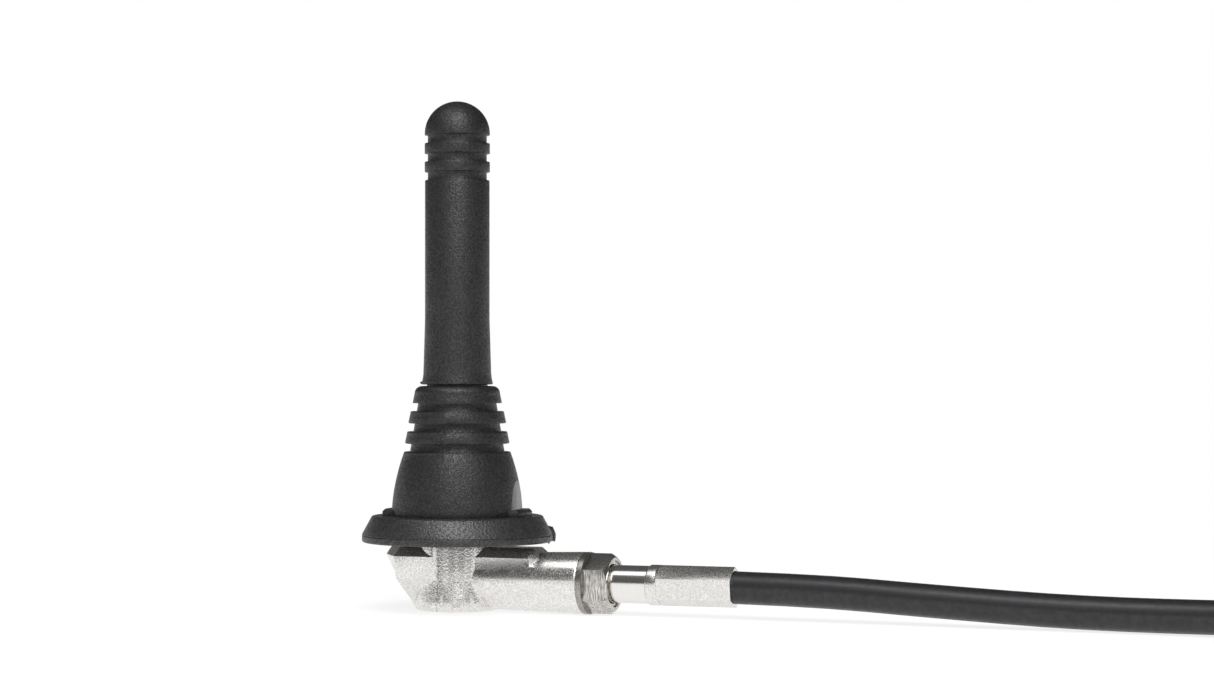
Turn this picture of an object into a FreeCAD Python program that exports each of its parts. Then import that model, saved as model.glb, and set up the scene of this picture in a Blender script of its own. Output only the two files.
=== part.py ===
import FreeCAD, Part
import math
import os
import types
import Sketcher

# Screw mount antenna for a vehicle roof: a stub whip screws into a ribbed cone, the cone
# screws down on the threaded post of a die-cast foot, and the roof sheet is clamped between
# the gasket and the wings of the foot. The cable leaves the foot sideways through a tube.
# Z runs up along the whip, X along the outlet tube, and the origin is the centre of the
# gasket's underside, where the roof's outer face lies.

doc = FreeCAD.newDocument("ScrewMountAntenna")

SIZES = {
    # gap between gasket and wings when the cone is screwed right down, fits, and how far cuts run past
    "seat_gap": 0.65,
    "running_fit": 0.05,
    "loose_fit": 0.15,
    "overcut": 1.0,
    # foot casting
    "foot_height": 9.85,
    "column_radius": 6.05,
    "column_flare": 0.6,
    "column_fillet": 0.8,
    "spigot_height": 2.0,
    "post_radius": 3.95,
    "post_height": 8.5,
    "post_chamfer": 0.4,
    "post_bore_radius": 2.1,
    "tube_drop": 5.85,
    "tube_root_radius": 4.2,
    "tube_end_radius": 4.75,
    "tube_reach": 21.5,
    "tube_rim_fillet": 0.35,
    "wing_width": 7.8,
    "wing_reach": 14.9,
    "wing_corner": 1.3,
    "wing_chamfer": 1.45,
    "nose_reach": 11.65,
    "nose_width": 5.0,
    "nose_lean": 0.53,
    "cheek_reach": 8.15,
    "cheek_width": 11.8,
    "cheek_depth": 4.85,
    "cheek_lean": 0.4,
    "keel_reach": 6.3,
    "keel_width": 3.6,
    "keel_corner": 0.5,
    "lead_bore_radius": 3.2,
    "lead_bore_depth": 3.6,
    "gland_bore_radius": 3.9,
    "gland_bore_depth": 7.2,
    # gasket
    "gasket_height": 4.05,
    "gasket_rim_radius": 14.75,
    "gasket_slope_run": 1.55,
    "gasket_rim_height": 1.2,
    "gasket_recess_depth": 1.85,
    "gasket_fillet": 0.38,
    "parting_notch": 0.12,
    "nub_width": 2.6,
    "nub_bottom": 0.2,
    "nub_height": 2.2,
    "nub_proud": 0.55,
    "nub_turn": 33.0,
    # cone
    "cone_top_radius": 6.62,
    "cone_top_fillet": 1.15,
    "cone_shoulder_radius": 6.92,
    "cone_shoulder_height": 2.63,
    "cone_rib_radius": 7.25,
    "cone_rib_growth": 0.167,
    "cone_rib_pitch": 3.13,
    "cone_groove_height": 1.28,
    "cone_groove_depth": 0.97,
    "cone_flank_curve": 33.0,
    "cone_skirt_radius": 10.15,
    "cone_skirt_height": 0.95,
    "cone_boss_radius": 6.9,
    "spanner_width": 19.0,
    "spanner_room": 7.0,
    "ledge_radius": 11.6,
    "ledge_width": 8.6,
    "ledge_height": 1.0,
    "ledge_chamfer": 0.35,
    "cone_turn_at_rest": 9.0,
    "rib_edge_fillet": 0.18,
    # brass parts inside the cone
    "insert_radius": 5.4,
    "insert_headroom": 0.8,
    "insert_groove_depth": 0.5,
    "insert_groove_length": 1.6,
    "socket_head_radius": 3.4,
    "socket_head_length": 7.1,
    "socket_stem_radius": 1.9,
    "socket_gap": 0.3,
    "socket_web": 0.7,
    "socket_thread_depth": 5.8,
    "contact_bore_depth": 8.0,
    "socket_slot_width": 0.35,
    "socket_slot_length": 5.0,
    "contact_pin_radius": 0.75,
    "contact_pin_gap": 2.1,
    # whip
    "seal_thickness": 0.25,
    "seal_radius": 4.7,
    "seal_hole_radius": 2.7,
    "whip_tip_length": 7.25,
    "whip_radius": 5.05,
    "whip_waist_radius": 5.0,
    "whip_taper_length": 8.0,
    "whip_taper_growth": 0.24,
    "whip_foot_flare": 0.3,
    "whip_foot_curve": 7.6,
    "whip_foot_height": 2.2,
    "whip_foot_edge": 0.12,
    "whip_groove_pitch": 2.865,
    "whip_groove_height": 1.27,
    "whip_groove_depth": 0.48,
    "whip_groove_start": 0.2,
    "whip_bore_radius": 3.9,
    "whip_bore_headroom": 0.6,
    "stud_radius": 2.45,
    "stud_length": 4.9,
    "stud_chamfer": 0.4,
    "stud_head_length": 5.6,
    "stud_spigot_radius": 1.4,
    "stud_spigot_length": 3.0,
    "former_radius": 2.5,
    "former_length": 30.4,
    "coil_wire_radius": 0.4,
    "coil_pitch": 3.0,
    "coil_turns": 9.0,
    "winding_gap": 0.02,
    # outlet fitting
    "washer_thickness": 0.8,
    "washer_split": 0.7,
    "nut_across_flats": 8.0,
    "nut_length": 3.9,
    "nut_chamfer": 0.55,
    "nut_lip_radius": 3.55,
    "nut_lip_depth": 0.35,
    "gland_length": 6.0,
    "neck_radius": 2.88,
    "neck_length": 5.75,
    "stem_radius": 2.0,
    "stem_length": 4.4,
    "dielectric_radius": 1.5,
    "dielectric_lead": 2.0,
    "lead_radius": 0.6,
    "ferrule_radius": 3.08,
    "ferrule_ring_length": 1.75,
    "ferrule_length": 13.5,
    "ferrule_edge": 0.2,
    "crimp_across_flats": 5.41,
    # cable, hank, ties and end jack
    "cable_radius": 2.475,
    "hank_run": 91.0,
    "hank_fold_radius": 17.5,
    "hank_columns": 2.0,
    "hank_layers": 5.0,
    "tie_thickness": 1.1,
    "tie_width": 2.6,
    "tie_head_length": 4.6,
    "tie_head_width": 4.2,
    "tie_head_height": 3.2,
    "jack_stand_off": 0.7,
    "jack_thread_radius": 3.95,
    "jack_thread_length": 7.0,
    "jack_flange_length": 3.0,
    "jack_thread_chamfer": 0.4,
    "jack_bore_radius": 2.4,
    "jack_bore_depth": 4.5,
    "jack_contact_radius": 0.9,
    "jack_contact_length": 3.6,
}

# Where the cable runs, as x, y and height above the floor, chosen by hand: from the ferrule to
# the hank that takes up the rest of its length, and from the hank's top turn to the end jack,
# which lies on the hank.
CABLE_RUN = [(76.0, -0.6, 3.6), (98.0, -1.3, 2.6), (122.0, -2.8, 2.7)]
FIRST_BEND = 56.0
HANK_CENTRE = (187.0, 12.0)
TAIL_START = 232.0
TAIL_RUN = [(219.0, 27.8, 27.2), (206.0, 29.0, 30.2)]
JACK_RUN = (181.0, 164.3)
TIE_PLACES = (166.0, 186.0)
CRIMP_TURN = 8.0
ARC_SHARE = 0.45


class Size:
    """A length with the sheet formula that gives it, so that one sum serves both."""

    def __init__(self, value, formula):
        self.value = float(value)
        self.formula = formula

    def __add__(self, other):
        other = as_size(other)
        return Size(self.value + other.value, f"({self.formula} + {other.formula})")

    def __sub__(self, other):
        other = as_size(other)
        return Size(self.value - other.value, f"({self.formula} - {other.formula})")

    def __mul__(self, other):
        other = as_size(other)
        return Size(self.value * other.value, f"{self.formula} * {other.formula}")

    def __truediv__(self, other):
        other = as_size(other)
        return Size(self.value / other.value, f"({self.formula} / {other.formula})")

    def __neg__(self):
        return Size(-self.value, f"(0 - {self.formula})")

    def __radd__(self, other):
        return as_size(other) + self

    def __rsub__(self, other):
        return as_size(other) - self

    def __rmul__(self, other):
        return as_size(other) * self

    def root(self):
        return Size(math.sqrt(self.value), f"sqrt({self.formula})")


def as_size(number):
    return number if isinstance(number, Size) else Size(number, f"({float(number)})")


def make_sheet():
    sheet = doc.addObject("Spreadsheet::Sheet", "Sizes")
    named = {}
    for row, (alias, value) in enumerate(SIZES.items(), start=1):
        sheet.set(f"A{row}", alias)
        sheet.set(f"B{row}", str(value))
        sheet.setAlias(f"B{row}", alias)
        named[alias] = Size(value, f"Sizes.{alias}")
    doc.recompute()
    return types.SimpleNamespace(**named)


s = make_sheet()

# Heights and stations that several pieces share.
gasket_top = s.gasket_height
gasket_top_radius = s.gasket_rim_radius - s.gasket_slope_run
boss_bottom = gasket_top - s.gasket_recess_depth + 2 * s.running_fit
insert_top = s.post_height + s.insert_headroom
socket_foot = insert_top + s.socket_gap
contact_top = socket_foot + s.contact_bore_depth
thread_bottom = contact_top + s.socket_web
cone_top = thread_bottom + s.socket_thread_depth
head_bottom = cone_top - s.socket_head_length
whip_bottom = cone_top + s.seal_thickness
plate_top = -s.seat_gap
foot_bottom = plate_top - s.foot_height
floor = -s.tube_drop - s.tube_end_radius
nut_start = s.tube_reach + s.washer_thickness
nut_end = nut_start + s.nut_length
gland_step = s.tube_reach - s.gland_bore_depth
gland_tip = nut_start - s.gland_length
ferrule_start = nut_end + s.neck_length
cable_start = ferrule_start + s.stem_length
hank_bottom = floor + s.tie_thickness
hank_height = s.hank_layers * 2 * s.cable_radius
hank_top = hank_bottom + hank_height
leg_half_width = s.hank_columns * s.cable_radius
inner_fold_radius = s.hank_fold_radius - leg_half_width + s.cable_radius
outer_fold_radius = s.hank_fold_radius + leg_half_width - s.cable_radius
jack_height = hank_top + s.jack_stand_off + s.nut_across_flats / 2


def origin_of(body, role):
    """The origin plane or axis that a body keeps under this role."""
    return next(feature for feature in body.Origin.OriginFeatures if feature.Role == role)


def new_body(label):
    body = doc.addObject("PartDesign::Body", label)
    body.Label = label
    return body


def place(body, **shifts):
    """Tie the body's place along the named axes to sums of the sheet's sizes."""
    for axis, size in shifts.items():
        body.setExpression(f".Placement.Base.{axis}", size.formula)


def new_sketch(body, name, role="XZ_Plane", lift=None, turn=None):
    sketch = body.newObject("Sketcher::SketchObject", name)
    sketch.AttachmentSupport = [(origin_of(body, role), "")]
    sketch.MapMode = "FlatFace"
    if lift is not None:
        sketch.setExpression(".AttachmentOffset.Base.z", lift.formula)
    if turn is not None:
        sketch.setExpression(".AttachmentOffset.Rotation.Angle", turn.formula)
    return sketch


def arc_between(start, end, radius, side):
    chord = end - start
    half = chord.Length / 2
    across = FreeCAD.Vector(-chord.y, chord.x, 0).normalize()
    if side == "right":
        across = -across
    centre = (start + end) / 2 + across * math.sqrt(max(radius**2 - half**2, 0))
    first, last = (start, end) if side == "left" else (end, start)
    angles = [math.atan2((p - centre).y, (p - centre).x) for p in (first, last)]
    return Part.ArcOfCircle(Part.Circle(centre, FreeCAD.Vector(0, 0, 1), radius), *angles)


def draw_outline(sketch, corners):
    """Draw a closed outline. A corner is (x, y), or (x, y, radius, side) where an arc leaves it
    whose centre lies on that side of its chord."""
    corners = [(as_size(corner[0]), as_size(corner[1]), *corner[2:]) for corner in corners]
    points = [FreeCAD.Vector(corner[0].value, corner[1].value, 0) for corner in corners]
    edges = []
    for corner, start, end in zip(corners, points, points[1:] + points[:1]):
        if len(corner) > 2:
            shape = arc_between(start, end, corner[2].value, corner[3])
        else:
            shape = Part.LineSegment(start, end)
        edges.append(sketch.addGeometry(shape, False))
    starts = [2 if len(corner) > 2 and corner[3] == "right" else 1 for corner in corners]
    rules, formulas = [], {}
    for i, corner in enumerate(corners):
        after = (i + 1) % len(corners)
        rules.append(Sketcher.Constraint("Coincident", edges[i], 3 - starts[i], edges[after], starts[after]))
        for kind, size, axis in (("DistanceX", corner[0], -2), ("DistanceY", corner[1], -1)):
            if size.value == 0:
                rules.append(Sketcher.Constraint("PointOnObject", edges[i], starts[i], axis))
            else:
                formulas[len(rules)] = size.formula
                rules.append(Sketcher.Constraint(kind, -1, 1, edges[i], starts[i], size.value))
        if len(corner) > 2:
            formulas[len(rules)] = corner[2].formula
            rules.append(Sketcher.Constraint("Radius", edges[i], corner[2].value))
    offset = sketch.ConstraintCount
    sketch.addConstraint(rules)
    for number, formula in formulas.items():
        sketch.setExpression(f"Constraints[{offset + number}]", formula)


def revolve(body, name, corners, axis="V_Axis", cut=False, lift=None):
    """Turn an outline about the body's Z axis, or about X where the axis is H_Axis."""
    sketch = new_sketch(body, name + "_outline")
    if lift is not None:
        sketch.setExpression(".AttachmentOffset.Base.y", lift.formula)
    draw_outline(sketch, corners)
    feature = body.newObject("PartDesign::Groove" if cut else "PartDesign::Revolution", name)
    feature.Profile = sketch
    feature.ReferenceAxis = (sketch, [axis])
    feature.Angle = 360
    return feature


def extrude(body, name, role, outlines, length, lift=None, turn=None, cut=False, reverse=False, middle=False):
    sketch = new_sketch(body, name + "_outline", role, lift, turn)
    for corners in outlines:
        draw_outline(sketch, corners)
    feature = body.newObject("PartDesign::Pocket" if cut else "PartDesign::Pad", name)
    feature.Profile = sketch
    feature.setExpression(".Length", length.formula)
    feature.Reversed = reverse
    feature.Midplane = middle
    return feature


def rounding(body, name, base, picks, size, kind="Fillet"):
    """Round or chamfer the edges of a feature that a test picks out."""
    doc.recompute()
    names = [f"Edge{n}" for n, edge in enumerate(base.Shape.Edges, start=1) if picks(edge)]
    feature = body.newObject(f"PartDesign::{kind}", name)
    feature.Base = (base, names)
    feature.setExpression(".Radius" if kind == "Fillet" else ".Size", size.formula)
    return feature


def near(first, second):
    return abs(first - second) < 0.01


def circle_at(places, along="z"):
    """Pick full circles by (radius, station along the axis)."""
    def picks(edge):
        curve = edge.Curve
        return isinstance(curve, Part.Circle) and any(
            near(curve.Radius, radius.value) and near(getattr(curve.Center, along), station.value)
            for radius, station in places)
    return picks


def hexagon(across_flats, turn=90.0):
    """Corners of a hexagon on the YZ plane, the first one turned that far from +Y."""
    corner_radius = across_flats / as_size(3).root()
    corners = []
    for step in range(6):
        angle = math.radians(turn + 60 * step)
        corners.append((corner_radius * round(math.cos(angle), 9), corner_radius * round(math.sin(angle), 9)))
    return corners


def plate_rim(toward):
    """Pick the upper edges of a wing that lie on the plate's top, away from the column."""
    def picks(edge):
        ends = [vertex.Point for vertex in edge.Vertexes]
        return all(near(p.z, plate_top.value) for p in ends) and max(p.x * toward for p in ends) > 0.01
    return picks


def make_mount_foot():
    """The die casting: nose and wing that grip under the roof, column, post and outlet tube."""
    body = new_body("mount_foot")

    def nose_section(name, depth, cheek, cheek_half, nose, nose_half):
        sketch = new_sketch(body, name, "XY_Plane", plate_top - depth)
        draw_outline(sketch, [(0, -cheek_half), (-cheek, -cheek_half), (-nose, -nose_half),
                              (-nose, nose_half), (-cheek, cheek_half), (0, cheek_half)])
        return sketch

    def nose_loft(name, first, last):
        feature = body.newObject("PartDesign::AdditiveLoft", name)
        feature.Profile = first
        feature.Sections = [(last, [""])]
        feature.Ruled = True
        return feature

    cheek_half, nose_half, keel_half = s.cheek_width / 2, s.nose_width / 2, s.keel_width / 2
    cheek_low = s.cheek_reach - s.cheek_lean
    nose_low = s.nose_reach - s.nose_lean * s.cheek_depth
    nose = nose_loft("nose",
                     nose_section("nose_top", as_size(0), s.cheek_reach, cheek_half, s.nose_reach, nose_half),
                     nose_section("nose_middle", s.cheek_depth, cheek_low, cheek_half, nose_low, nose_half))
    rounding(body, "nose_chamfer", nose, plate_rim(-1), s.wing_chamfer, "Chamfer")
    nose_loft("keel",
              nose_section("keel_top", s.cheek_depth, cheek_low, cheek_half, nose_low, nose_half),
              nose_section("keel_foot", s.foot_height, s.keel_reach - s.keel_corner, keel_half,
                           s.keel_reach, keel_half - s.keel_corner))
    half = s.wing_width / 2
    wing = extrude(body, "wing", "XY_Plane",
                   [[(0, -half), (s.wing_reach - s.wing_corner, -half), (s.wing_reach, -half + s.wing_corner),
                     (s.wing_reach, half - s.wing_corner), (s.wing_reach - s.wing_corner, half), (0, half)]],
                   s.tube_drop + plate_top, lift=-s.tube_drop)
    rounding(body, "wing_chamfer", wing, plate_rim(1), s.wing_chamfer, "Chamfer")
    flare = s.column_radius + s.column_flare
    revolve(body, "column",
            [(0, foot_bottom), (flare - s.column_fillet, foot_bottom, s.column_fillet, "left"),
             (flare, foot_bottom + s.column_fillet), (s.column_radius, -s.tube_drop),
             (s.column_radius, s.spigot_height), (s.post_radius, s.spigot_height),
             (s.post_radius, s.post_height - s.post_chamfer), (s.post_radius - s.post_chamfer, s.post_height),
             (0, s.post_height)])
    rim = s.tube_rim_fillet
    revolve(body, "tube",
            [(0, 0), (s.tube_reach, 0), (s.tube_reach, s.tube_end_radius - rim, rim, "left"),
             (s.tube_reach - rim, s.tube_end_radius), (0, s.tube_root_radius)],
            axis="H_Axis", lift=-s.tube_drop)
    revolve(body, "lead_bore",
            [(-s.lead_bore_depth, 0), (s.tube_reach, 0), (s.tube_reach, s.gland_bore_radius),
             (gland_step, s.gland_bore_radius), (gland_step, s.lead_bore_radius),
             (-s.lead_bore_depth, s.lead_bore_radius)],
            axis="H_Axis", cut=True, lift=-s.tube_drop)
    revolve(body, "post_bore",
            [(0, -s.tube_drop), (s.post_bore_radius, -s.tube_drop), (s.post_bore_radius, s.post_height),
             (0, s.post_height)], cut=True)
    return body


def make_post_insulator():
    body = new_body("post_insulator")
    foot = s.lead_bore_radius - s.tube_drop
    revolve(body, "sleeve", [(s.contact_pin_radius, foot), (s.post_bore_radius, foot),
                             (s.post_bore_radius, s.post_height), (s.contact_pin_radius, s.post_height)])
    return body


def make_contact_pin():
    """The live pin in the middle of the post, round-nosed where the socket slides on it."""
    body = new_body("contact_pin")
    r = s.contact_pin_radius
    revolve(body, "pin", [(0, -s.tube_drop - 2 * r), (r, -s.tube_drop - 2 * r),
                          (r, contact_top - s.contact_pin_gap - r, r, "left"),
                          (0, contact_top - s.contact_pin_gap)])
    return body


def make_base_gasket():
    """Rubber ring with a sloped edge, a notch at its mould's parting line and the stub of its sprue."""
    body = new_body("base_gasket")
    hole = s.column_radius + s.loose_fit
    recess = s.cone_boss_radius + 2 * s.running_fit
    recess_floor = gasket_top - s.gasket_recess_depth
    rim, rim_top, notch = s.gasket_rim_radius, s.gasket_rim_height, s.parting_notch
    fillet = s.gasket_fillet
    ring = revolve(body, "ring",
                   [(hole, 0), (rim - fillet, 0, fillet, "left"), (rim, fillet), (rim, rim_top - 2 * notch),
                    (rim - notch, rim_top - notch), (rim, rim_top), (gasket_top_radius, gasket_top),
                    (recess, gasket_top), (recess, recess_floor), (hole, recess_floor)])
    rounding(body, "top_edge", ring, circle_at([(gasket_top_radius, gasket_top)]), s.gasket_fillet)
    half = s.nub_width / 2
    root, reach = (recess + rim) / 2, rim + s.nub_proud
    extrude(body, "sprue_stub", "XY_Plane", [[(root, -half), (reach, -half), (reach, half), (root, half)]],
            s.nub_height, lift=s.nub_bottom, turn=s.nub_turn)
    return body


def make_base_cone():
    """Ribbed moulding with two spanner flats; each flat ends on a ledge that stops the spanner."""
    body = new_body("base_cone")
    depth = s.cone_groove_depth

    def flank(below):
        return s.cone_rib_radius + s.cone_rib_growth * (below - s.cone_shoulder_height - s.cone_groove_height)

    corners = [(s.socket_head_radius, cone_top), (s.cone_top_radius - s.cone_top_fillet, cone_top,
                                                  s.cone_top_fillet, "right"),
               (s.cone_top_radius, cone_top - s.cone_top_fillet),
               (s.cone_shoulder_radius, cone_top - s.cone_shoulder_height)]
    edge = s.rib_edge_fillet
    for groove in range(3):
        start = s.cone_shoulder_height + groove * s.cone_rib_pitch
        end = start + s.cone_groove_height
        if groove:
            corners += [(flank(start), cone_top - start + edge, edge, "right"),
                        (flank(start) - edge, cone_top - start)]
        corners += [(flank(start) - depth, cone_top - start), (flank(end) - depth, cone_top - end),
                    (flank(end) - edge, cone_top - end, edge, "right"), (flank(end), cone_top - end - edge)]
    corners[-1] += (s.cone_flank_curve, "right")
    skirt_top = gasket_top + s.cone_skirt_height
    corners += [(s.cone_skirt_radius, skirt_top), (s.cone_skirt_radius, gasket_top),
                (s.cone_boss_radius, gasket_top), (s.cone_boss_radius, boss_bottom)]
    corners += insert_outline()
    corners += [(s.socket_stem_radius, insert_top), (s.socket_stem_radius, head_bottom),
                (s.socket_head_radius, head_bottom)]
    revolve(body, "shell", corners)

    half = s.ledge_width / 2
    reach = ((s.ledge_radius * s.ledge_radius) - (half * half)).root()
    inner = (s.cone_boss_radius + s.cone_skirt_radius) / 2
    ledge = extrude(body, "ledge", "XY_Plane",
                    [[(inner, -half), (reach, -half, s.ledge_radius, "left"), (reach, half), (inner, half)]],
                    s.ledge_height, lift=gasket_top)
    bevel = rounding(body, "ledge_chamfer", ledge,
                    circle_at([(s.ledge_radius, gasket_top + s.ledge_height)]), s.ledge_chamfer, "Chamfer")
    flat = s.spanner_width / 2
    outside = s.ledge_radius + s.overcut
    cut = extrude(body, "spanner_flat", "XY_Plane",
                  [[(flat, -outside), (outside, -outside), (outside, outside), (flat, outside)]],
                  s.spanner_room, lift=gasket_top + s.ledge_height, cut=True, reverse=True)
    pair = body.newObject("PartDesign::PolarPattern", "both_sides")
    pair.Originals = [ledge, bevel, cut]
    pair.Axis = (origin_of(body, "Z_Axis"), [""])
    pair.Angle = 360
    pair.Occurrences = 2
    body.Tip = pair
    body.setExpression(".Placement.Rotation.Angle", s.cone_turn_at_rest.formula)
    return body


def insert_outline():
    """The outer side of the brass insert, from its lower outer corner up; the cone grips it."""
    groove_bottom = (boss_bottom + insert_top - s.insert_groove_length) / 2
    groove_top = groove_bottom + s.insert_groove_length
    inner = s.insert_radius - s.insert_groove_depth
    return [(s.insert_radius, boss_bottom), (s.insert_radius, groove_bottom), (inner, groove_bottom),
            (inner, groove_top), (s.insert_radius, groove_top), (s.insert_radius, insert_top)]


def make_thread_insert():
    body = new_body("thread_insert")
    bore = s.post_radius + s.running_fit
    revolve(body, "insert", insert_outline() + [(bore, insert_top), (bore, boss_bottom)])
    return body


def make_contact_socket():
    """Brass: a threaded head for the whip's stud, and below it a split stem that grips the pin."""
    body = new_body("contact_socket")
    bore = s.contact_pin_radius + s.running_fit
    thread = s.stud_radius + s.running_fit
    foot = socket_foot
    revolve(body, "socket",
            [(bore, foot), (s.socket_stem_radius, foot), (s.socket_stem_radius, head_bottom),
             (s.socket_head_radius, head_bottom), (s.socket_head_radius, cone_top), (thread, cone_top),
             (thread, thread_bottom), (0, thread_bottom), (0, contact_top), (bore, contact_top)])
    slot = s.socket_slot_width / 2
    slot_foot, slot_top = foot - s.overcut, foot + s.socket_slot_length
    across = (s.socket_stem_radius + s.overcut) * 2
    for number, role in enumerate(("XZ_Plane", "YZ_Plane"), start=1):
        extrude(body, f"slot_{number}", role,
                [[(-slot, slot_foot), (slot, slot_foot), (slot, slot_top), (-slot, slot_top)]],
                across, cut=True, middle=True)
    return body


def make_whip_seal():
    body = new_body("whip_seal")
    revolve(body, "washer", [(s.seal_hole_radius, cone_top), (s.seal_radius, cone_top),
                             (s.seal_radius, whip_bottom), (s.seal_hole_radius, whip_bottom)])
    return body


def make_whip_sheath():
    """Moulded cover of the whip: flared foot, slight taper, three grooves and a domed tip."""
    body = new_body("whip_sheath")
    bore_top = whip_bottom + s.stud_head_length + s.former_length + s.whip_bore_headroom
    top = bore_top + s.whip_tip_length
    dome = top - s.whip_radius
    ring, floor_radius = s.whip_radius, s.whip_radius - s.whip_groove_depth
    waist = s.whip_waist_radius
    taper_foot = waist + s.whip_taper_growth
    flare_top = whip_bottom + s.whip_foot_height
    edge = s.whip_foot_edge
    corners = [(s.whip_bore_radius, whip_bottom), (taper_foot + s.whip_foot_flare - edge, whip_bottom),
               (taper_foot + s.whip_foot_flare, whip_bottom + edge, s.whip_foot_curve, "right"),
               (taper_foot, flare_top), (waist, flare_top + s.whip_taper_length)]
    for groove in (2, 1, 0):
        groove_top = dome - s.whip_groove_start - groove * s.whip_groove_pitch
        groove_bottom = groove_top - s.whip_groove_height
        corners.append((waist if groove == 2 else ring, groove_bottom))
        corners += [(floor_radius, groove_bottom), (floor_radius, groove_top), (ring, groove_top)]
    corners += [(ring, dome, ring, "left"), (0, top), (0, bore_top),
                (s.whip_bore_radius, bore_top)]
    revolve(body, "cover", corners)
    return body


def make_whip_stud():
    """Brass: threaded stud below, knurled head moulded into the whip, spigot for the coil former."""
    body = new_body("whip_stud")
    foot = whip_bottom - s.stud_length
    head_top = whip_bottom + s.stud_head_length
    lead = s.stud_chamfer
    thread, head, spigot = s.stud_radius, s.whip_bore_radius, s.stud_spigot_radius
    spigot_top = head_top + s.stud_spigot_length
    revolve(body, "stud",
            [(0, foot), (thread - lead, foot), (thread, foot + lead), (thread, whip_bottom),
             (head, whip_bottom), (head, head_top), (spigot, head_top), (spigot, spigot_top),
             (0, spigot_top)])
    return body


def make_coil_former():
    body = new_body("coil_former")
    foot = whip_bottom + s.stud_head_length
    top = foot + s.former_length
    spigot, spigot_top = s.stud_spigot_radius, foot + s.stud_spigot_length
    revolve(body, "rod", [(spigot, foot), (s.former_radius, foot), (s.former_radius, top), (0, top),
                          (0, spigot_top), (spigot, spigot_top)])
    return body


def make_radiator_coil():
    """Round wire wound on the former as a helix, its foot resting on the stud's head."""
    body = new_body("radiator_coil")
    sketch = new_sketch(body, "wire_section")
    wire = s.coil_wire_radius
    middle = s.former_radius + s.winding_gap + wire
    start = whip_bottom + s.stud_head_length + wire + s.winding_gap
    circle = Part.Circle(FreeCAD.Vector(middle.value, start.value, 0), FreeCAD.Vector(0, 0, 1), wire.value)
    ring = sketch.addGeometry(circle, False)
    sketch.addConstraint([Sketcher.Constraint("Radius", ring, wire.value),
                          Sketcher.Constraint("DistanceX", -1, 1, ring, 3, middle.value),
                          Sketcher.Constraint("DistanceY", -1, 1, ring, 3, start.value)])
    for number, size in enumerate((wire, middle, start)):
        sketch.setExpression(f"Constraints[{number}]", size.formula)
    coil = body.newObject("PartDesign::AdditiveHelix", "winding")
    coil.Profile = sketch
    coil.ReferenceAxis = (sketch, ["V_Axis"])
    coil.Mode = "pitch-turns-angle"
    coil.setExpression(".Pitch", s.coil_pitch.formula)
    coil.setExpression(".Turns", s.coil_turns.formula)
    return body


def make_lock_washer():
    """Spring washer between tube and nut, split on the slant."""
    body = new_body("lock_washer")
    hole = s.gland_bore_radius + s.running_fit
    revolve(body, "ring", [(s.tube_reach, hole), (nut_start, hole), (nut_start, s.tube_end_radius),
                           (s.tube_reach, s.tube_end_radius)], axis="H_Axis")
    split = s.washer_split
    near_end, far_end = s.tube_reach - s.overcut, nut_start + s.overcut
    extrude(body, "split", "XY_Plane", [[(near_end, -split), (far_end, 0), (far_end, split), (near_end, 0)]],
            s.tube_end_radius + s.overcut, cut=True, reverse=True)
    place(body, z=-s.tube_drop)
    return body


def make_gland_nut():
    """Hexagon nut whose spigot screws into the tube and holds the connector's flange."""
    body = new_body("gland_nut")
    bore = s.neck_radius + s.loose_fit
    extrude(body, "hexagon", "YZ_Plane", [hexagon(s.nut_across_flats)], s.nut_length, lift=nut_start)
    spigot = s.gland_bore_radius - s.running_fit
    revolve(body, "spigot", [(gland_tip, 0), (nut_start, 0), (nut_start, spigot), (gland_tip, spigot)],
            axis="H_Axis")
    corner = s.nut_across_flats / as_size(3).root()
    flat = s.nut_across_flats / 2
    chamfer = s.nut_chamfer
    revolve(body, "end_chamfer", [(nut_end, flat), (nut_end, corner + s.overcut),
                                  (nut_end - chamfer, corner + s.overcut), (nut_end - chamfer, corner)],
            axis="H_Axis", cut=True)
    revolve(body, "bore", [(gland_tip, 0), (nut_end, 0), (nut_end, s.nut_lip_radius),
                           (nut_end - s.nut_lip_depth, s.nut_lip_radius), (nut_end - s.nut_lip_depth, bore),
                           (gland_tip, bore)], axis="H_Axis", cut=True)
    place(body, z=-s.tube_drop)
    return body


def make_connector_body():
    """Turned neck: flange held by the gland nut, polished neck, and the stem under the ferrule."""
    body = new_body("connector_body")
    core, flange = s.dielectric_radius, s.gland_bore_radius - s.running_fit
    revolve(body, "neck",
            [(gland_step, core), (cable_start, core), (cable_start, s.stem_radius),
             (ferrule_start, s.stem_radius), (ferrule_start, s.neck_radius), (gland_tip, s.neck_radius),
             (gland_tip, flange), (gland_step, flange)], axis="H_Axis")
    place(body, z=-s.tube_drop)
    return body


def make_connector_insulator():
    body = new_body("connector_insulator")
    start = gland_step - s.dielectric_lead
    revolve(body, "tube", [(start, s.lead_radius), (cable_start, s.lead_radius),
                           (cable_start, s.dielectric_radius), (start, s.dielectric_radius)], axis="H_Axis")
    place(body, z=-s.tube_drop)
    return body


def make_connector_pin():
    body = new_body("connector_pin")
    revolve(body, "wire", [(s.contact_pin_radius, 0), (cable_start, 0), (cable_start, s.lead_radius),
                           (s.contact_pin_radius, s.lead_radius)], axis="H_Axis")
    place(body, z=-s.tube_drop)
    return body


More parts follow.
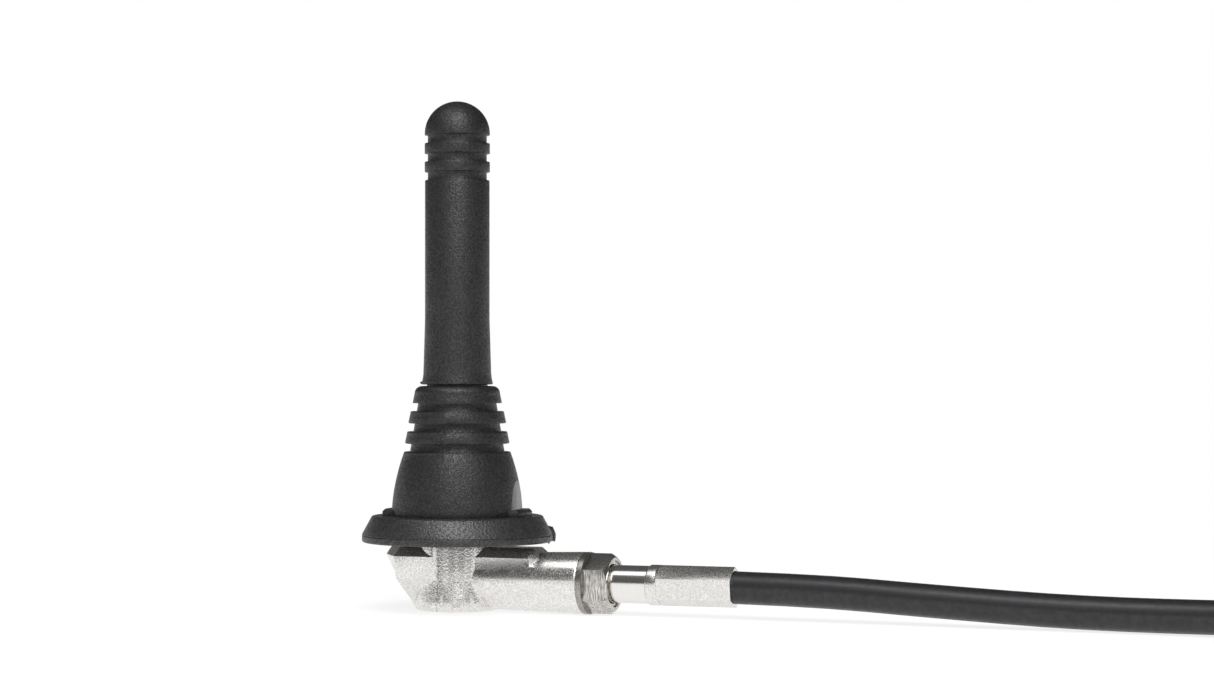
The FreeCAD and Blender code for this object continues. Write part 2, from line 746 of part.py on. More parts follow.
def make_ferrule(label):
    """Crimp ferrule from x = 0 towards the cable: a plain ring, then the six-sided crimp."""
    body = new_body(label)
    ring = s.ferrule_ring_length
    crimp = s.ferrule_length - ring
    extrude(body, "crimp", "YZ_Plane", [hexagon(s.crimp_across_flats, 90.0 + CRIMP_TURN)], crimp, lift=ring)
    edge = s.ferrule_edge
    revolve(body, "ring", [(0, 0), (ring, 0), (ring, s.ferrule_radius - edge),
                           (ring - edge, s.ferrule_radius), (edge, s.ferrule_radius),
                           (0, s.ferrule_radius - edge)], axis="H_Axis")
    revolve(body, "bore", [(0, 0), (s.ferrule_length, 0), (s.ferrule_length, s.cable_radius),
                           (0, s.cable_radius)], axis="H_Axis", cut=True)
    return body


def round_path(points):
    """Straight runs joined by tangent arcs, each arc as large as its two runs allow."""
    points = [FreeCAD.Vector(*point) for point in points]
    edges, radii, start = [], [], points[0]
    for before, corner, after in zip(points, points[1:], points[2:]):
        arrive = (corner - before).normalize()
        leave = (after - corner).normalize()
        turn = arrive.getAngle(leave)
        reach = ARC_SHARE * min((corner - before).Length, (after - corner).Length)
        radius = reach / math.tan(turn / 2)
        radii.append(radius)
        first, last = corner - arrive * reach, corner + leave * reach
        inward = (leave - arrive).normalize()
        middle = corner + inward * (radius / math.cos(turn / 2) - radius)
        edges += [Part.LineSegment(start, first).toShape(), Part.Arc(first, middle, last).toShape()]
        start = last
    edges.append(Part.LineSegment(start, points[-1]).toShape())
    return Part.Wire(edges), radii


def make_tube(label, points):
    """One stretch of the cable that isn't coiled, as a plain round tube along its route."""
    path, radii = round_path(points)
    radius = s.cable_radius.value
    direction = FreeCAD.Vector(*points[1]) - FreeCAD.Vector(*points[0])
    section = Part.Wire([Part.Circle(FreeCAD.Vector(*points[0]), direction, radius).toShape()])
    tube = doc.addObject("Part::Feature", label)
    tube.Label = label
    tube.Shape = path.makePipeShell([section], True, False)
    tube.Placement = FreeCAD.Placement()
    ideal = math.pi * radius**2 * path.Length
    print(f"{label}: {path.Length:.1f} mm, radii {[round(r, 1) for r in radii]}, "
          f"volume {tube.Shape.Volume:.1f} of {ideal:.1f} mm3")
    return path.Length


def make_coax_hank():
    """The spare length folded to and fro, as the ring of its outer shape."""
    body = new_body("coax_hank")
    end = s.hank_run / 2

    def ring(fold):
        return [(-end, -fold), (end, -fold, fold, "left"), (end + fold, 0, fold, "left"), (end, fold),
                (-end, fold, fold, "left"), (-end - fold, 0, fold, "left")]

    turns = extrude(body, "turns", "XY_Plane",
                    [ring(s.hank_fold_radius + leg_half_width), ring(s.hank_fold_radius - leg_half_width)],
                    hank_height, lift=hank_bottom)

    def rims(edge):
        heights = [vertex.Point.z for vertex in edge.Vertexes]
        return any(all(near(z, level.value) for z in heights) for level in (hank_bottom, hank_top))

    rounding(body, "round_rims", turns, rims, s.cable_radius)
    body.Placement.Base = FreeCAD.Vector(*HANK_CENTRE, 0)
    return body


def make_cable_tie(label, station, turn, top, crown):
    """Nylon tie pulled tight round one leg of the hank, its lock head on the inner side."""
    body = new_body(label)
    gap, wall = s.running_fit, s.tie_thickness - s.running_fit
    outer = -s.hank_fold_radius - leg_half_width - gap
    inner = -s.hank_fold_radius + leg_half_width + gap

    def loop(grow):
        left, right = outer - grow, inner + grow
        low, high = hank_bottom - gap - grow, top + gap + grow
        bend, arch = s.cable_radius + grow, crown + grow
        return [(left + bend, low), (right - bend, low, bend, "left"), (right, low + bend),
                (right, high - arch, arch, "left"), (right - arch, high), (left + arch, high, arch, "left"),
                (left, high - arch), (left, low + bend, bend, "left")]

    extrude(body, "band", "YZ_Plane", [loop(wall), loop(as_size(0))], s.tie_width, middle=True)
    head = s.tie_head_length / 2
    height = (hank_bottom + hank_top) / 2
    root, tip = inner + wall / 2, inner + s.tie_head_height
    extrude(body, "lock_head", "YZ_Plane",
            [[(root, height - head), (tip, height - head), (tip, height + head), (root, height + head)]],
            s.tie_head_width, middle=True)
    body.Placement = FreeCAD.Placement(FreeCAD.Vector(station, HANK_CENTRE[1], 0),
                                       FreeCAD.Rotation(FreeCAD.Vector(0, 0, 1), turn))
    return body


def seat_at_jack(body):
    """Move a piece drawn from x = 0 at the jack's flange to where the jack lies."""
    place(body, x=JACK_RUN[1] - s.stem_length, y=HANK_CENTRE[1] + s.hank_fold_radius, z=jack_height)
    return body


def make_jack_body():
    """Turned end jack: hexagon flange, threaded barrel towards -X, stem under its ferrule."""
    body = new_body("jack_body")
    flange, length = s.jack_flange_length, s.jack_flange_length + s.jack_thread_length
    extrude(body, "flange", "YZ_Plane", [hexagon(s.nut_across_flats, 0.0)], flange, lift=-flange)
    chamfer = s.jack_thread_chamfer
    revolve(body, "barrel", [(-length, 0), (0, 0), (0, s.stem_radius), (-flange, s.stem_radius),
                             (-flange, s.jack_thread_radius), (chamfer - length, s.jack_thread_radius),
                             (-length, s.jack_thread_radius - chamfer)], axis="H_Axis")
    revolve(body, "stem", [(0, 0), (s.stem_length, 0), (s.stem_length, s.stem_radius), (0, s.stem_radius)],
            axis="H_Axis")
    step = s.jack_bore_depth - length
    revolve(body, "bore", [(-length, 0), (s.stem_length, 0), (s.stem_length, s.dielectric_radius),
                           (step, s.dielectric_radius), (step, s.jack_bore_radius),
                           (-length, s.jack_bore_radius)], axis="H_Axis", cut=True)
    return seat_at_jack(body)


def make_jack_insulator():
    body = new_body("jack_insulator")
    step = s.jack_bore_depth - s.jack_flange_length - s.jack_thread_length
    revolve(body, "tube", [(step, s.lead_radius), (s.stem_length, s.lead_radius),
                           (s.stem_length, s.dielectric_radius), (step, s.dielectric_radius)], axis="H_Axis")
    return seat_at_jack(body)


def make_jack_contact():
    body = new_body("jack_contact")
    step = s.jack_bore_depth - s.jack_flange_length - s.jack_thread_length
    tip = step - s.jack_contact_length
    revolve(body, "contact", [(tip, 0), (s.stem_length, 0), (s.stem_length, s.lead_radius),
                              (step, s.lead_radius), (step, s.jack_contact_radius),
                              (tip, s.jack_contact_radius)], axis="H_Axis")
    return seat_at_jack(body)


def make_cable():
    """The cable from the ferrule to the hank, and its tail from the hank's top turn to the jack."""
    bend = (FIRST_BEND, 0, -s.tube_drop.value)
    run = [(x, y, floor.value + z) for x, y, z in CABLE_RUN]
    middle_x, middle_y = HANK_CENTRE
    half_run = s.hank_run.value / 2
    entry = (middle_x - half_run, middle_y - outer_fold_radius.value, (hank_bottom + s.cable_radius).value)
    length = make_tube("coax_cable", [(cable_start.value, 0, -s.tube_drop.value), bend] + run + [entry])
    leave = (TAIL_START, middle_y + inner_fold_radius.value, (hank_top - s.cable_radius).value)
    tail = [(x, y, floor.value + z) for x, y, z in TAIL_RUN]
    row = middle_y + s.hank_fold_radius.value
    length += make_tube("coax_tail", [leave] + tail + [(x, row, jack_height.value) for x in JACK_RUN])
    turn = 4 * half_run + 2 * math.pi * s.hank_fold_radius.value
    last_turn = 3 * half_run + math.pi * inner_fold_radius.value + middle_x - TAIL_START
    length += turn * (s.hank_columns.value * s.hank_layers.value - 1) + last_turn
    print(f"whole cable: {length:.0f} mm")


make_mount_foot()
make_post_insulator()
make_contact_pin()
make_base_gasket()
make_base_cone()
make_thread_insert()
make_contact_socket()
make_whip_seal()
make_whip_sheath()
make_whip_stud()
make_coil_former()
make_radiator_coil()
make_lock_washer()
make_gland_nut()
make_connector_body()
make_connector_insulator()
make_connector_pin()
place(make_ferrule("crimp_ferrule"), x=ferrule_start, z=-s.tube_drop)
make_cable()
make_coax_hank()
make_cable_tie("cable_tie_1", TIE_PLACES[0], 0, hank_top, s.cable_radius)
make_cable_tie("cable_tie_2", TIE_PLACES[1], 180, jack_height + s.cable_radius, 0.9 * leg_half_width)
seat_at_jack(make_ferrule("jack_ferrule"))
make_jack_body()
make_jack_insulator()
make_jack_contact()

doc.recompute()
for item in doc.Objects:
    if {"Invalid", "Error"} & set(item.State):
        raise RuntimeError(f"{item.Label} could not be built: {item.State}")
pieces = [item for item in doc.Objects if item.TypeId in ("PartDesign::Body", "Part::Feature")]
for piece in pieces:
    if piece.Shape.isNull() or not piece.Shape.isValid() or len(piece.Shape.Solids) != 1:
        raise RuntimeError(f"{piece.Label} is not one valid solid")

os.makedirs("parts", exist_ok=True)
for piece in pieces:
    piece.Shape.exportStep(f"parts/{piece.Label}.step")
print(f"{len(pieces)} pieces written")
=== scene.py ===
import math
import bpy
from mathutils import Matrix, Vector


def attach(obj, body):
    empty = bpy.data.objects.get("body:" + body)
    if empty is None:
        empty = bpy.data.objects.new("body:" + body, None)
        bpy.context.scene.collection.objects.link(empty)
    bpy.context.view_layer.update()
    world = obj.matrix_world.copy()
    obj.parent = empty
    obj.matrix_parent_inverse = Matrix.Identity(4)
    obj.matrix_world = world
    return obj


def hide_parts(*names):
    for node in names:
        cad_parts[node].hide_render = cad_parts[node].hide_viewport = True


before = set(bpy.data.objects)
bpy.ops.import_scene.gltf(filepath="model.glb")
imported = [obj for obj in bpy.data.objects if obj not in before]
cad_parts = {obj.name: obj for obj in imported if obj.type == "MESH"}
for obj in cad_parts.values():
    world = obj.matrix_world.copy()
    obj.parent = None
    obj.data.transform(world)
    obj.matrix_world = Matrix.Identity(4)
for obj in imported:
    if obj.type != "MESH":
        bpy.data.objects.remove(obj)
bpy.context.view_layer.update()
mm = 0.001
floorLevel = -10.6 * mm
print("frame loaded")


# helpers for meshes

meshWork = {
    "mergeWithin": 0.0005 * mm,  # points that lie nearer each other than this are merged
    "flatWithin": math.radians(0.4),  # facets that turn less than this are joined before bevelling
    "bevelFrom": math.radians(28),
    "bevelSegments": 2,
    "smoothBelow": 40,  # degrees
}


def deselectAll():
    bpy.ops.object.select_all(action="DESELECT")


def makeActive(piece):
    deselectAll()
    piece.select_set(True)
    bpy.context.view_layer.objects.active = piece


def editAll(piece):
    makeActive(piece)
    bpy.ops.object.mode_set(mode="EDIT")
    bpy.ops.mesh.select_all(action="SELECT")


def leaveEdit():
    bpy.ops.object.mode_set(mode="OBJECT")


def nameIt(name):
    piece = bpy.context.active_object
    piece.name = name
    piece.data.name = name
    return piece


def applyPlace(piece):
    makeActive(piece)
    bpy.ops.object.transform_apply(location=True, rotation=True, scale=True)
    return piece


def applyModifier(piece, kind, **settings):
    makeActive(piece)
    modifier = piece.modifiers.new(kind.lower(), kind)
    for key, value in settings.items():
        setattr(modifier, key, value)
    bpy.ops.object.modifier_apply(modifier=modifier.name)
    return piece


def mergeDoubles(piece):
    editAll(piece)
    bpy.ops.mesh.remove_doubles(threshold=meshWork["mergeWithin"])
    leaveEdit()


def smooth(piece, degrees):
    makeActive(piece)
    bpy.ops.object.shade_smooth_by_angle(angle=math.radians(degrees))
    return piece


def copyNode(nodeName, pieceName):
    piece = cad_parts[nodeName].copy()
    piece.data = piece.data.copy()
    piece.name = pieceName
    piece.data.name = pieceName
    piece.parent = None
    piece.data.materials.clear()
    bpy.context.collection.objects.link(piece)
    mergeDoubles(piece)
    return piece


def bevelled(nodeName, pieceName, width):
    piece = copyNode(nodeName, pieceName)
    editAll(piece)
    bpy.ops.mesh.dissolve_limited(angle_limit=meshWork["flatWithin"])
    leaveEdit()
    applyModifier(piece, "BEVEL", width=width, segments=meshWork["bevelSegments"], limit_method="ANGLE",
                  angle_limit=meshWork["bevelFrom"], use_clamp_overlap=True)
    mergeDoubles(piece)
    return smooth(piece, meshWork["smoothBelow"])


# camera at the photograph's place, set up by sizes in the photograph's pixels

photoCamera = {
    "imageWidth": 1214,
    "imageHeight": 683,
    "focalPixels": 3000,
    "horizonRow": 354,
    "sensorWidth": 36,
    "azimuth": math.radians(21),
    "distance": 0.465,
    "aside": 0.0232,
    "eyeHeight": 0.02906,
    "seesFrom": 0.01,
    "seesTo": 50,
}


def makeCamera():
    row = photoCamera
    data = bpy.data.cameras.new("photoCamera")
    camera = bpy.data.objects.new("photoCamera", data)
    bpy.context.collection.objects.link(camera)
    sine, cosine = math.sin(row["azimuth"]), math.cos(row["azimuth"])
    camera.location = (sine * row["distance"] + cosine * row["aside"],
                       -cosine * row["distance"] + sine * row["aside"], row["eyeHeight"])
    camera.rotation_euler = (math.radians(90), 0, row["azimuth"])
    data.sensor_width = row["sensorWidth"]
    data.lens = row["focalPixels"] / row["imageWidth"] * row["sensorWidth"]
    data.shift_y = (row["horizonRow"] - row["imageHeight"] / 2) / row["imageWidth"]
    data.clip_start = row["seesFrom"]
    data.clip_end = row["seesTo"]
    bpy.context.scene.camera = camera


makeCamera()
bpy.context.scene.view_settings.view_transform = "Standard"
print("camera set")


# materials are built from these

def addNode(tree, kind, inputs=None, **settings):
    made = tree.nodes.new("ShaderNode" + kind)
    for key, value in settings.items():
        setattr(made, key, value)
    for key, value in (inputs or {}).items():
        if isinstance(value, bpy.types.NodeSocket):
            tree.links.new(value, made.inputs[key])
        else:
            made.inputs[key].default_value = value
    return made


def objectPlace(tree):
    return addNode(tree, "TexCoord").outputs["Object"]


def reckon(tree, operation, *values, **settings):
    return addNode(tree, "Math", dict(enumerate(values)), operation=operation, **settings).outputs[0]


def ramp(tree, value, start=0.0, end=1.0, low=0.0, high=1.0, **settings):
    return addNode(tree, "MapRange", {"Value": value, "From Min": start, "From Max": end,
                                      "To Min": low, "To Max": high}, **settings).outputs[0]


def mixTint(tree, share, first, second):
    return addNode(tree, "MixRGB", {"Fac": share, "Color1": first, "Color2": second}).outputs[0]


def newGroup(name, inputs, outputs):
    group = bpy.data.node_groups.new(name, "ShaderNodeTree")
    for direction, sockets in (("INPUT", inputs), ("OUTPUT", outputs)):
        for label, kind in sockets.items():
            group.interface.new_socket(label, in_out=direction, socket_type="NodeSocket" + kind)
    start = group.nodes.new("NodeGroupInput")
    end = group.nodes.new("NodeGroupOutput")
    return group, start.outputs, end.inputs


speckleNoise = {
    "fineDetail": 1.5,
    "fineRoughness": 0.6,
    "fineRange": (0.36, 0.64),  # noise values that give all dark and all light
    "cloudScale": 0.13,  # of the fine grain's scale
    "cloudDetail": 2.0,
    "cloudRange": (0.3, 0.7),
    "cloudShare": 0.12,
}


def makeSpeckle():
    row = speckleNoise
    group, given, out = newGroup(
        "speckle",
        {"Vector": "Vector", "Size": "Float", "Depth": "Float", "Dark": "Color", "Light": "Color",
         "Smoothest": "Float", "Roughest": "Float"},
        {"Color": "Color", "Roughness": "Float", "Normal": "Vector"})

    def noise(scale, **values):
        inputs = {"Vector": given["Vector"], "Scale": scale, **values}
        return addNode(group, "TexNoise", inputs).outputs["Fac"]

    frequency = reckon(group, "DIVIDE", 1.0, given["Size"])
    fine = noise(frequency, Detail=row["fineDetail"], Roughness=row["fineRoughness"])
    broad = noise(reckon(group, "MULTIPLY", frequency, row["cloudScale"]), Detail=row["cloudDetail"])
    spread = ramp(group, fine, *row["fineRange"])
    clouds = ramp(group, broad, *row["cloudRange"], -row["cloudShare"], row["cloudShare"])
    mixed = reckon(group, "ADD", spread, clouds, use_clamp=True)
    tint = mixTint(group, mixed, given["Dark"], given["Light"])
    rough = ramp(group, mixed, low=given["Roughest"], high=given["Smoothest"])
    bump = addNode(group, "Bump", {"Strength": 1.0, "Distance": given["Depth"], "Height": fine}).outputs[0]
    for label, socket in (("Color", tint), ("Roughness", rough), ("Normal", bump)):
        group.links.new(socket, out[label])
    return group


speckle = makeSpeckle()


def newMaterial(name, tint, metallic=0.0, specular=0.5):
    material = bpy.data.materials.new(name)
    material.use_nodes = True
    material.diffuse_color = (*tint, 1)
    shader = material.node_tree.nodes["Principled BSDF"]
    shader.inputs["Metallic"].default_value = metallic
    shader.inputs["Specular IOR Level"].default_value = specular
    return material, material.node_tree, shader


def speckled(name, dark, light, size, depth, roughness, stretch=(1, 1, 1), **shading):
    material, tree, shader = newMaterial(name, light, **shading)
    where = addNode(tree, "Mapping", {"Vector": objectPlace(tree), "Scale": stretch}).outputs[0]
    smoothest, roughest = roughness
    grain = addNode(tree, "Group", node_tree=speckle)
    tree.links.new(where, grain.inputs["Vector"])
    for label, value in (("Size", size), ("Depth", depth), ("Dark", (*dark, 1)), ("Light", (*light, 1)),
                         ("Smoothest", smoothest), ("Roughest", roughest)):
        grain.inputs[label].default_value = value
    tree.links.new(grain.outputs["Color"], shader.inputs["Base Color"])
    tree.links.new(grain.outputs["Roughness"], shader.inputs["Roughness"])
    tree.links.new(grain.outputs["Normal"], shader.inputs["Normal"])
    return material


# each finish: darkest and lightest tint, size and depth of its grain, roughness where light and where dark

finishLooks = {
    "mouldedPlastic": {"dark": (0.002, 0.002, 0.0022), "light": (0.020, 0.0195, 0.0195),
                       "size": 0.3 * mm, "depth": 0.1 * mm, "roughness": (0.36, 0.58), "specular": 0.54},
    # spanner flats: smoother plastic, its lighter tint a painted sheen
    "smoothPlasticPaintedSheen": {"dark": (0.03, 0.03, 0.0305), "light": (0.085, 0.084, 0.084),
                      "size": 0.2 * mm, "depth": 0.01 * mm, "roughness": (0.24, 0.36), "specular": 0.6},
    "gasketRubber": {"dark": (0.003, 0.003, 0.0032), "light": (0.032, 0.0315, 0.0315),
                     "size": 0.3 * mm, "depth": 0.09 * mm, "roughness": (0.36, 0.56), "specular": 0.7},
    "castNickel": {"dark": (0.74, 0.72, 0.70), "light": (0.93, 0.915, 0.895),
                   "size": 0.28 * mm, "depth": 0.014 * mm, "roughness": (0.2, 0.38), "metallic": 1.0},
    "turnedNickel": {"dark": (0.78, 0.765, 0.74), "light": (0.90, 0.885, 0.86),
                     "size": 0.09 * mm, "depth": 0.0006 * mm, "roughness": (0.14, 0.22), "metallic": 1.0,
                     "stretch": (1, 0, 0)},  # tool marks, which change along X only
    "nutNickel": {"dark": (0.30, 0.28, 0.26), "light": (0.80, 0.78, 0.75),
                  "size": 0.2 * mm, "depth": 0.02 * mm, "roughness": (0.2, 0.36), "metallic": 1.0,
                  "stretch": (1, 1, 0.14)},  # upright tool marks
    "wroughtNickel": {"dark": (0.72, 0.70, 0.67), "light": (0.89, 0.875, 0.85),
                      "size": 0.24 * mm, "depth": 0.013 * mm, "roughness": (0.2, 0.34), "metallic": 1.0},
    "springSteel": {"dark": (0.28, 0.27, 0.26), "light": (0.46, 0.45, 0.43),
                    "size": 0.2 * mm, "depth": 0.005 * mm, "roughness": (0.25, 0.4), "metallic": 1.0},
    "cableJacket": {"dark": (0.010, 0.010, 0.011), "light": (0.018, 0.018, 0.020),
                    "size": 0.8 * mm, "depth": 0.004 * mm, "roughness": (0.3, 0.4)},
    "tieNylon": {"dark": (0.012, 0.012, 0.013), "light": (0.03, 0.03, 0.032),
                 "size": 0.6 * mm, "depth": 0.006 * mm, "roughness": (0.35, 0.5)},
    "whiteInsulator": {"dark": (0.72, 0.71, 0.67), "light": (0.82, 0.81, 0.77),
                       "size": 0.8 * mm, "depth": 0.004 * mm, "roughness": (0.35, 0.5)},
    "turnedBrass": {"dark": (0.62, 0.45, 0.2), "light": (0.80, 0.62, 0.32),
                    "size": 0.12 * mm, "depth": 0.001 * mm, "roughness": (0.2, 0.34), "metallic": 1.0,
                    "stretch": (0.1, 0.1, 1)},
}
finishes = {name: speckled(name, **look) for name, look in finishLooks.items()}


# the casting's column has a deeper grain than its tube and wings

roughColumn = {
    "from": 6.2 * mm,  # the rough skin ends between these distances from the post's axis
    "by": 7.4 * mm,
    "depth": 0.055 * mm,
    "tubeDepth": 0.009 * mm,
}


def roughenColumn(tree):
    row = roughColumn
    grain = next(made for made in tree.nodes if made.type == "GROUP")
    level = addNode(tree, "Mapping", {"Vector": objectPlace(tree), "Scale": (1, 1, 0)}).outputs[0]
    away = addNode(tree, "VectorMath", {0: level}, operation="LENGTH").outputs["Value"]
    depth = ramp(tree, away, row["from"], row["by"], row["depth"], row["tubeDepth"])
    tree.links.new(depth, grain.inputs["Depth"])


# fine dark lines where the casting's dies met, upright on the column and level beside it

partingLines = {
    "uprightX": -0.57 * mm,
    "uprightY": (-7.0 * mm, 5.5 * mm),  # middle and half depth of the front side, which it stays on
    "levelZ": -5.85 * mm,
    "levelX": (1.6 * mm, 2.2 * mm),  # middle and half length
    "halfWidth": 0.05 * mm,
    "fade": 1.8,  # a line has faded out at this many times its half width
    "dotScale": 2600.0,
    "dotRange": (0.42, 0.56),
    "darkness": 0.75,
    "tint": (0.12, 0.11, 0.10, 1),
}


def addPartingLines(tree):
    row = partingLines
    base = tree.nodes["Principled BSDF"].inputs["Base Color"]
    split = addNode(tree, "SeparateXYZ", {"Vector": objectPlace(tree)}).outputs

    def band(socket, middle, half):
        away = reckon(tree, "ABSOLUTE", reckon(tree, "SUBTRACT", socket, middle))
        return ramp(tree, away, half, half * row["fade"], 1.0, 0.0)

    upright = reckon(tree, "MULTIPLY", band(split["X"], row["uprightX"], row["halfWidth"]),
                     band(split["Y"], *row["uprightY"]))
    level = reckon(tree, "MULTIPLY", band(split["Z"], row["levelZ"], row["halfWidth"]),
                   band(split["X"], *row["levelX"]))
    dots = addNode(tree, "TexNoise", {"Vector": objectPlace(tree), "Scale": row["dotScale"]}).outputs["Fac"]
    dots = ramp(tree, dots, *row["dotRange"])
    mask = reckon(tree, "MULTIPLY", reckon(tree, "MAXIMUM", upright, level), dots)
    mask = reckon(tree, "MULTIPLY", mask, row["darkness"])
    tree.links.new(mixTint(tree, mask, base.links[0].from_socket, row["tint"]), base)


roughenColumn(finishes["castNickel"].node_tree)
addPartingLines(finishes["castNickel"].node_tree)
print("finishes made")


def finish(piece, finishName):
    piece.data.materials.clear()
    piece.data.materials.append(finishes[finishName])
    return piece


# the cable, on one spline from the ferrule through the hank to the end jack

cable = {
    "diameter": 4.95 * mm,
    "length": 2.94,
    "exit": (45.45 * mm, 0, -5.85 * mm),
    "start": (36.35, 0.0, 4.75),  # points in mm, heights above the floor
    "route": [(56.0, 0.0, 4.75), (76.0, -0.6, 3.6), (98.0, -1.3, 2.6), (122.0, -2.8, 2.7)],
    "tail": [(219.0, 27.8, 27.2), (206.0, 29.0, 30.2), (181.0, 29.5, 30.55), (164.3, 29.5, 30.55)],
    "roundness": 5,
    "stepsPerPoint": 4,
}
hank = {
    "centre": (187.0, 12.0),  # mm, as all lengths here
    "run": 91.0,
    "foldRadius": 17.5,
    "columns": 2,
    "layers": 5,
    "bottom": 3.575,  # lowest turns above the floor
    "pitch": 4.95,
    "firstStep": 270.0,  # how far along the first turn its step to the next one starts
    "stepLength": 13.5,  # and how much sooner each later turn's step starts
    "runPoints": 8,
    "foldPoints": 6,
}


def aboveFloor(point):
    return (point[0] * mm, point[1] * mm, point[2] * mm + floorLevel)


# places along one turn: distance travelled, place on the middle line, direction outward, stretch outward
def turnPlaces():
    run, fold = hank["run"], math.pi * hank["foldRadius"]
    swell = 4 / (3 + math.cos(math.pi / hank["foldPoints"]))  # the spline runs inside its control points
    places = []
    for side in (-1, 1):
        travelled = 0 if side < 0 else run + fold
        for i in range(hank["runPoints"]):
            along = (i + 0.5) / hank["runPoints"]
            places.append((travelled + along * run, side * (run / 2 - along * run), 0, side, 1))
        for i in range(hank["foldPoints"]):
            along = (i + 0.5) / hank["foldPoints"]
            turned = math.pi * (along - 0.5 if side < 0 else along + 0.5)
            places.append((travelled + run + along * fold, -side * run / 2,
                           math.cos(turned), math.sin(turned), swell))
    return places


# radius and height of a turn: the columns fill outside in, then inside out, layer by layer
def turnSeat(turn):
    outer = hank["foldRadius"] + (hank["columns"] - 1) / 2 * hank["pitch"]
    layer, column = divmod(turn, hank["columns"])
    column = column if layer % 2 == 0 else hank["columns"] - 1 - column
    return outer - column * hank["pitch"], hank["bottom"] + layer * hank["pitch"]


def hankPoints():
    centreX, centreY = hank["centre"]
    lastTurn = hank["columns"] * hank["layers"] - 1
    points = []
    for turn in range(lastTurn + 1):
        radius, height = turnSeat(turn)
        nextRadius, nextHeight = turnSeat(min(turn + 1, lastTurn))
        stepStart = hank["firstStep"] - turn * hank["stepLength"]
        for travelled, middleX, outX, outY, swell in turnPlaces():
            if turn == lastTurn and travelled > hank["run"] + math.pi * hank["foldRadius"]:
                break
            step = min(1, max(0, (travelled - stepStart) / hank["stepLength"]))
            step = step * step * (3 - 2 * step)
            reach = (radius + (nextRadius - radius) * step) * swell
            points.append(aboveFloor((centreX + middleX + reach * outX, centreY + reach * outY,
                                      height + (nextHeight - height) * step)))
    return points


def makeCable():
    points = [aboveFloor(point) for point in [cable["start"]] + cable["route"]]
    points += hankPoints() + [aboveFloor(point) for point in cable["tail"]]
    curve = bpy.data.curves.new("cable", "CURVE")
    curve.dimensions = "3D"
    curve.bevel_depth = cable["diameter"] / 2
    curve.bevel_resolution = cable["roundness"]
    curve.resolution_u = cable["stepsPerPoint"]
    curve.use_fill_caps = True
    spline = curve.splines.new("NURBS")
    spline.points.add(len(points) - 1)
    for place, point in zip(spline.points, points):
        place.co = (*point, 1)
    spline.order_u = 3
    spline.use_endpoint_u = True
    piece = bpy.data.objects.new("cable", curve)
    bpy.context.collection.objects.link(piece)
    finish(piece, "cableJacket")
    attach(piece, "foot")
    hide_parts("coax_cable", "coax_hank", "coax_tail")
    return piece


cablePiece = makeCable()
print("cable laid")


# CAD pieces that get rounded edges, each with its body, slot, finish and edge radius

dressed = [
    {"node": "mount_foot", "piece": "footCasting", "body": "foot", "slot": "plated_casting",
     "finish": "castNickel", "edge": 0.13 * mm},
    {"node": "gland_nut", "piece": "glandNut", "body": "foot", "slot": "plated_brass",
     "finish": "nutNickel", "edge": 0.09 * mm},
    {"node": "crimp_ferrule", "piece": "crimpFerrule", "body": "foot", "slot": "plated_brass",
     "finish": "wroughtNickel", "edge": 0.07 * mm},
    {"node": "jack_ferrule", "piece": "jackFerrule", "body": "foot", "slot": "plated_brass",
     "finish": "wroughtNickel", "edge": 0.07 * mm},
    {"node": "jack_body", "piece": "jackBody", "body": "foot", "slot": "plated_brass",
     "finish": "turnedNickel", "edge": 0.08 * mm},
    {"node": "base_cone", "piece": "coneShell", "body": "cone", "slot": "moulded_plastic",
     "finish": "mouldedPlastic", "edge": 0.13 * mm},
    {"node": "whip_sheath", "piece": "whipCover", "body": "whip", "slot": "moulded_plastic",
     "finish": "mouldedPlastic", "edge": 0.13 * mm},
    {"node": "base_gasket", "piece": "gasketRing", "body": "seat", "slot": "gasket_rubber",
     "finish": "gasketRubber", "edge": 0.1 * mm},
]
spannerFlats = {
    "turn": math.radians(9),  # the cone's turn at rest
    "fromAxis": 9.5 * mm,
    "within": 0.05 * mm,
    "facing": 0.999,  # cosine to the flat's own direction
    "finish": "smoothPlasticPaintedSheen",
}
sprueStub = {
    "outside": 14.35 * mm,  # nearer the axis is the gasket's own slope
    "above": 0.15 * mm,
    "turn": math.radians(33),
    "spread": math.radians(9),
    "cuts": 2,
    "smoothing": 0.5,
    "passes": 4,
    "roundness": 0.6,
    "shift": (-0.2 * mm, -0.1 * mm, -0.15 * mm),
    "roughness": 0.09 * mm,
    "seed": 4,
}


# the two spanner flats are smoother than the rest of the cone, and get a lighter tint as a painted sheen
def finishFlats(piece):
    row = spannerFlats
    piece.data.materials.append(finishes[row["finish"]])
    toward = Vector((math.cos(row["turn"]), math.sin(row["turn"]), 0))
    for face in piece.data.polygons:
        away = abs(face.center.dot(toward))
        if abs(face.normal.dot(toward)) > row["facing"] and abs(away - row["fromAxis"]) < row["within"]:
            face.material_index = 1


# the sprue's stub on the gasket's edge was torn off
def tearStub(piece):
    row = sprueStub
    makeActive(piece)
    bpy.ops.object.mode_set(mode="EDIT")
    bpy.ops.mesh.select_mode(type="VERT")
    bpy.ops.mesh.select_all(action="DESELECT")
    leaveEdit()
    for vertex in piece.data.vertices:
        x, y, z = vertex.co
        onStub = abs(math.atan2(y, x) - row["turn"]) < row["spread"] and z > row["above"]
        vertex.select = math.hypot(x, y) > row["outside"] and onStub
    bpy.ops.object.mode_set(mode="EDIT")
    bpy.ops.mesh.subdivide(number_cuts=row["cuts"])
    bpy.ops.mesh.vertices_smooth(factor=row["smoothing"], repeat=row["passes"])
    leaveEdit()
    stub = [vertex.co for vertex in piece.data.vertices if vertex.select]
    middle = sum(stub, Vector()) / len(stub)
    bpy.ops.object.mode_set(mode="EDIT")
    bpy.ops.transform.tosphere(value=row["roundness"], center_override=middle)
    bpy.ops.transform.translate(value=row["shift"])
    bpy.ops.transform.vertex_random(offset=row["roughness"], seed=row["seed"])
    leaveEdit()


